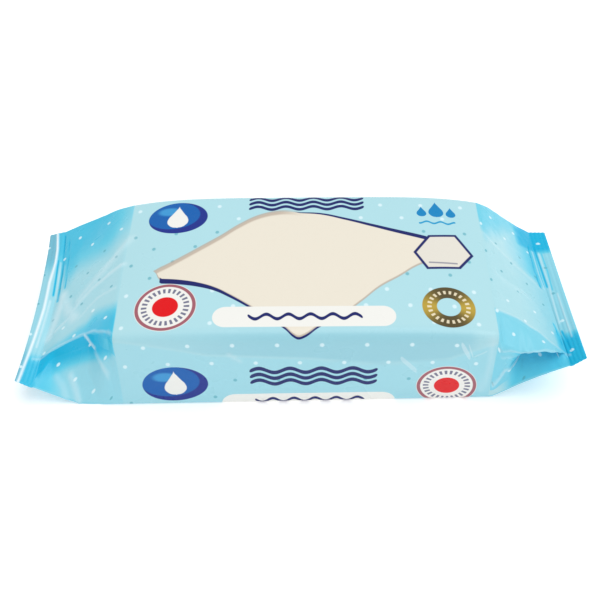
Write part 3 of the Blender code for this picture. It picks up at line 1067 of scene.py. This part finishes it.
def dot_group():
    """The scattered snow of dots: rows of them, every other row shifted by half a step."""
    tree, board, _, made, u, v = new_group("printed dots", (), ("White", "Teal"))
    on_top = board.larger(board.smaller(v, DOT_TOP_HALF), -DOT_TOP_HALF)
    on_side = board.minus(v, on_top)
    place = board.plus(board.over(on_top, DOT_ROW_TOP), board.over(on_side, DOT_ROW_SIDE))
    place = board.plus(place, DOT_ROW_PHASE)
    row = board.rounded(place)
    off_top = board.calc("GREATER_THAN", board.size(v), DOT_TOP_HALF)
    spacing = board.plus(DOT_ROW_TOP, board.times(off_top, DOT_ROW_SIDE - DOT_ROW_TOP))
    dv = board.times(board.minus(place, row), spacing)
    even = board.minus(1.0, board.calc("FLOORED_MODULO", row, 2.0))
    shifted = board.minus(board.minus(u, DOT_PHASE), board.times(even, DOT_PITCH / 2))
    column = board.rounded(board.over(shifted, DOT_PITCH))
    du = board.minus(shifted, board.times(column, DOT_PITCH))
    on_end = board.rise(board.size(u), *DOT_END)
    du = board.times(du, board.minus(1.0, board.times(on_end, DOT_END_STRETCH)))
    dv = board.times(dv, board.plus(DOT_FLATNESS, board.times(on_end, DOT_END_FLATNESS)))
    radius = board.hypot(du, dv)
    teal = board.either(*(
        board.both(board.calc("GREATER_THAN", row, low), board.calc("LESS_THAN", row, high))
        for low, high in TEAL_ROWS))
    board.feed(made["White"], board.both(board.fade(radius, *WHITE_DOT_RIM), board.minus(1.0, teal)))
    board.feed(made["Teal"], board.both(board.fade(radius, *TEAL_DOT_RIM), teal))
    return tree


class Design:
    """The film's colour as its print is laid on, shape over shape."""

    def __init__(self, board, u, v, film):
        self.board = board
        self.u = u
        self.v = v
        self.result = film
        self.groups = {"oval": oval_group(), "bar": bar_group(), "ripples": ripple_group(),
                       "ring": ring_group(), "drop": drop_group()}

    def shape(self, kind, centre, **values):
        """The mask of a printed shape."""
        node = self.board.group(
            self.groups[kind], u=self.u, v=self.v, centre_u=centre[0], centre_v=centre[1], **values)
        return node.outputs[0]

    def ripples(self, centre, sizes):
        """The mask of a row of ripples."""
        names = ("half_length", "wavelength", "wave_height", "line_gap", "line_width", "lines_each_side")
        return self.shape("ripples", centre, **dict(zip(names, sizes)))

    def paint(self, code, mask, strength=1.0):
        """Lays a screen colour, or a colour socket, over the design."""
        if strength < 1:
            mask = self.board.times(mask, strength)
        self.result = self.board.paint(self.result, code, mask)


def stroke(board, u, off_line, widths, corners):
    """The mask of a stroke whose width changes along u."""
    width = board.graph(u, widths, values=(-1.0, 5.0), sharp=corners)
    gap = board.minus(board.size(off_line), board.times(width, 0.5))
    return board.both(board.fade(gap, -0.1, 0.3), board.rise(width, 0.1, 0.4))


def paint_window(design):
    """The cream window with its soft brown and navy edges."""
    board, u, v = design.board, design.u, design.v
    under_top = board.minus(v, board.graph(u, WINDOW_TOP, sharp=(-80, -77.6, -2.6)))
    over_bottom = board.minus(board.graph(u, WINDOW_BOTTOM, sharp=(-80, -77.6, -74)), v)
    outside = board.larger(under_top, over_bottom)
    before_end = board.fade(u, WINDOW_END - 0.2, WINDOW_END + 0.2)
    wide_edge = board.fade(board.size(board.plus(under_top, 0.3)), 1.0, 3.0)
    wide_edge = board.both(wide_edge, board.fade(u, -16.0, 2.0))
    thin_edge = board.fade(board.size(over_bottom), 0.2, 1.2)
    soft_edge = board.both(board.either(wide_edge, thin_edge), board.fade(outside, 1.0, 1.8), before_end)
    design.paint(CREAM, board.both(board.fade(outside, -0.2, 0.3), before_end))
    design.paint(CREAM_EDGE, soft_edge, 0.8)
    low_line = stroke(board, u, board.minus(over_bottom, 0.8), LOWER_STROKE, (12, 15))
    low_line = board.both(low_line, board.rise(u, LOWER_STROKE_START, LOWER_STROKE_START + 0.6))
    high_line = stroke(board, u, board.minus(under_top, 0.3), UPPER_STROKE, (-8,))
    design.paint(NAVY, board.both(board.either(low_line, high_line), before_end))


def paint_hexagon(design):
    """The small hexagon at the window's right end, from the distance to its outline."""
    board = design.board
    sides = []
    for (au, av), (bu, bv) in zip(HEXAGON, HEXAGON[1:] + HEXAGON[:1]):
        length = math.hypot(bu - au, bv - av)
        nu, nv = (av - bv) / length, (bu - au) / length
        side = board.plus(board.times(design.u, nu), board.times(design.v, nv))
        sides.append(board.minus(side, au * nu + av * nv))
    distance = board.either(*sides)
    design.paint(PANEL_GREY, board.fade(distance, -0.1, 0.3))
    line = design.shape("bar", (72.0, -3.2), half_length=7.6, half_height=0.55, corner=0.4)
    design.paint(SMALL_PRINT, line, 0.8)
    design.paint(NAVY, board.fade(board.size(distance), 0.50, 1.05))


def paint_badge(design, centre):
    """The round badge with a red middle."""
    design.paint(PILL_WHITE, design.shape("oval", centre, half_length=15.8, half_height=15.8))
    design.paint(BADGE_RIM, design.shape("ring", centre, inner_radius=13.7, outer_radius=15.5))
    design.paint(NAVY, design.shape("ring", centre, inner_radius=9.4, outer_radius=12.3, dashes=26.0), 0.8)
    design.paint(BADGE_RED, design.shape("oval", centre, half_length=6.6, half_height=6.6))


def paint_gold_ring(design):
    """The gold ring, brighter at its left and right, with light marks round it."""
    board = design.board
    across = board.minus(design.u, GOLD_RING[0])
    up = board.minus(design.v, GOLD_RING[1])
    across = board.times(across, across)
    shine = board.over(across, board.plus(across, board.times(up, up)))
    gold = board.paint(GOLD_DARK, GOLD_LIGHT, board.times(shine, shine))
    design.paint(gold, design.shape("ring", GOLD_RING, inner_radius=6.0, outer_radius=13.4))
    marks = design.shape("ring", GOLD_RING, inner_radius=8.7, outer_radius=10.9, dashes=22.0, dash_share=0.45)
    design.paint(GOLD_MARK, marks, 0.85)


def paint_emblem(design, centre, half):
    """A blue disc, two blues and a sky-blue glint, with a white drop of water."""
    board, (u, v) = design.board, centre
    disc = design.shape("oval", centre, half_length=half, half_height=12.8)
    shade = design.shape("oval", (u - 2.5, v + 2.0), half_length=half - 1.8, half_height=11.2, softness=0.8)
    glint = design.shape("oval", (u - 5.0, v + 5.4), half_length=6.0, half_height=3.2, softness=2.0)
    design.paint(EMBLEM_NAVY, disc)
    design.paint(EMBLEM_BLUE, board.both(shade, disc))
    design.paint(EMBLEM_SKY, board.both(glint, disc), 0.8)
    design.paint(PILL_WHITE, design.shape("drop", (u, v + 0.6), height=18.0))


def paint_front_crease_highlights(design):
    """Painted highlights on the small creases in the film on the front."""
    for centre, length, height, slope, bright in FRONT_CREASE_HIGHLIGHTS:
        corner = 0.8 * min(length, height)
        crease = design.shape(
            "bar", centre, half_length=length, half_height=height, corner=corner, slope=slope)
        design.paint(CREASE_HIGHLIGHT, crease, bright)


def printed_design(board, place):
    """The colour of the film: its tint by depth, partly painted shade, the print, and the painted highlights
    on creases.
    """
    flat = board.node("ShaderNodeSeparateXYZ")
    board.feed(flat.inputs[0], place)
    u, v = (board.times(board.minus(axis, 0.5), MAP_SPAN * MM) for axis in flat.outputs[:2])
    # the tint deepens with the layers of film and with painted shade under the flaps, in the pleats and on
    # the front
    tint = board.node("ShaderNodeValToRGB")
    stops = tint.color_ramp.elements
    stops[0].color = colour(PALE_FILM)
    stops[1].color = colour(SHADED_PLEAT_FILM)
    stops.new(TINT_SCALE / 2).color = colour(MID_FILM)
    stops.new(TINT_SCALE).color = colour(DEEP_FILM)
    board.feed(tint.inputs[0], board.attribute("depth_and_shade"))

    design = Design(board, u, v, tint.outputs[0])
    # grey outside the left seal's fold, and painted shade on the front roll
    design.paint(GREY_AND_SHADE_FILM, board.attribute("grey_and_shade"))
    snow = board.group(dot_group(), u=u, v=v)
    design.paint(WHITE_DOT, snow.outputs["White"], 0.82)
    design.paint(TEAL_DOT, snow.outputs["Teal"], 0.7)
    paint_window(design)
    paint_hexagon(design)
    pills = [design.shape("bar", centre, half_length=length, half_height=height, corner=corner)
             for centre, length, height, corner in PILLS]
    design.paint(PILL_WHITE, board.either(*pills))
    design.paint(NAVY, board.either(*(design.ripples(*row) for row in NAVY_RIPPLES)))
    for centre, half in EMBLEMS:
        paint_emblem(design, centre, half)
    for centre in BADGES:
        paint_badge(design, centre)
    paint_gold_ring(design)
    drops = [design.shape("drop", centre, height=height) for centre, height in SMALL_DROPS]
    design.paint(DROP_BLUE, board.either(*drops))
    design.paint(RIPPLE_CYAN, design.ripples(*CYAN_RIPPLE))
    paint_front_crease_highlights(design)
    # painted highlights along the creases
    design.paint(CREASE_HIGHLIGHT, board.attribute("pale"))
    return design.result


def shader_of(tree, kind="BSDF_PRINCIPLED"):
    """The shader that Blender puts in a new node tree."""
    return next(node for node in tree.nodes if node.type == kind)


def printed_film():
    """Glossy printed film, a little uneven in its gloss, with fine crinkles."""
    material = bpy.data.materials.new("printed_film")
    material.use_nodes = True
    board = Board(material.node_tree)
    shader = shader_of(material.node_tree)
    place = board.node("ShaderNodeUVMap", uv_map="film").outputs[0]
    board.feed(shader.inputs["Base Color"], printed_design(board, place))
    shader.inputs["Specular IOR Level"].default_value = 0.28

    worn = board.fill(board.node("ShaderNodeTexNoise"), Vector=place, Scale=22.0, Detail=3.0)
    board.feed(shader.inputs["Roughness"], board.scale(worn.outputs[0], (0.3, 0.7), (0.24, 0.38)))

    fine = board.fill(board.node("ShaderNodeTexNoise"), Vector=place, Scale=60.0, Detail=4.0, Distortion=0.4)
    bump = board.fill(board.node("ShaderNodeBump"), Strength=0.25, Distance=0.0006, Height=fine.outputs[0])
    board.feed(shader.inputs["Normal"], bump.outputs[0])
    return material


def floor_material():
    """Plain white studio table, softly lit from below."""
    material = bpy.data.materials.new("studio_floor")
    material.use_nodes = True
    shader = shader_of(material.node_tree)
    shader.inputs["Base Color"].default_value = (0.96, 0.96, 0.965, 1.0)
    shader.inputs["Roughness"].default_value = 0.9
    shader.inputs["Emission Color"].default_value = (1.0, 1.0, 1.0, 1.0)
    shader.inputs["Emission Strength"].default_value = 0.24
    return material


def add_floor():
    """A pale plane under the pack."""
    plane = bmesh.new()
    bmesh.ops.create_grid(plane, x_segments=1, y_segments=1, size=3.0)
    mesh = bpy.data.meshes.new("studio_floor")
    plane.to_mesh(mesh)
    plane.free()
    mesh.materials.append(floor_material())
    floor = bpy.data.objects.new("studio_floor", mesh)
    bpy.context.scene.collection.objects.link(floor)


# The soft light from above, as a direction, with its spread in degrees, and the even
# light from all round
KEY_PLACE = (0.35, -0.05, 1.3)
KEY_SPREAD = 50.0
KEY_STRENGTH = 1.45
WORLD_STRENGTH = 0.60


def add_lights():
    """A wide soft light, the same all over the floor, and even white light from all round."""
    lamp = bpy.data.lights.new("key_light", "SUN")
    lamp.angle = math.radians(KEY_SPREAD)
    lamp.energy = KEY_STRENGTH
    holder = bpy.data.objects.new("key_light", lamp)
    holder.location = KEY_PLACE
    holder.rotation_euler = (-Vector(KEY_PLACE)).to_track_quat("-Z", "Y").to_euler()
    bpy.context.scene.collection.objects.link(holder)
    world = bpy.data.worlds.new("studio")
    world.use_nodes = True
    back = shader_of(world.node_tree, "BACKGROUND")
    back.inputs["Color"].default_value = (1.0, 1.0, 1.0, 1.0)
    back.inputs["Strength"].default_value = WORLD_STRENGTH
    bpy.context.scene.world = world


# The camera, as the photograph was taken: degrees, metres and millimetres
VIEW_YAW = 0.862
VIEW_PITCH = 46.317
VIEW_ROLL = -1.052
VIEW_DISTANCE = 0.548313
VIEW_TARGET = (0.001376, 0.0, 0.021908)
VIEW_LENS = 60.412


def add_camera():
    """The camera at the photograph's angle."""
    yaw, pitch, roll = (math.radians(angle) for angle in (VIEW_YAW, VIEW_PITCH, VIEW_ROLL))
    back = Vector((math.sin(yaw) * math.cos(pitch), -math.cos(yaw) * math.cos(pitch), math.sin(pitch)))
    right = Vector((math.cos(yaw), math.sin(yaw), 0.0))
    up = back.cross(right)
    side = right * math.cos(roll) + up * math.sin(roll)
    top = up * math.cos(roll) - right * math.sin(roll)
    lens = bpy.data.cameras.new("camera")
    lens.lens = VIEW_LENS
    lens.sensor_width = 36.0
    lens.clip_start = 0.01
    camera = bpy.data.objects.new("camera", lens)
    turn = Matrix((side, top, back)).transposed().to_4x4()
    camera.matrix_world = Matrix.Translation(Vector(VIEW_TARGET) + back * VIEW_DISTANCE) @ turn
    bpy.context.scene.collection.objects.link(camera)
    bpy.context.scene.camera = camera


def main():
    """Dresses the pack in its film, lights it and takes the photograph's view."""
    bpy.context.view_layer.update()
    mesh = film_mesh()
    mesh.materials.append(printed_film())
    film = bpy.data.objects.new("printed_film", mesh)
    bpy.context.scene.collection.objects.link(film)
    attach(film, "root")
    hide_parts(NODE)

    add_floor()
    add_lights()
    add_camera()
    bpy.context.scene.view_settings.view_transform = "Standard"


main()
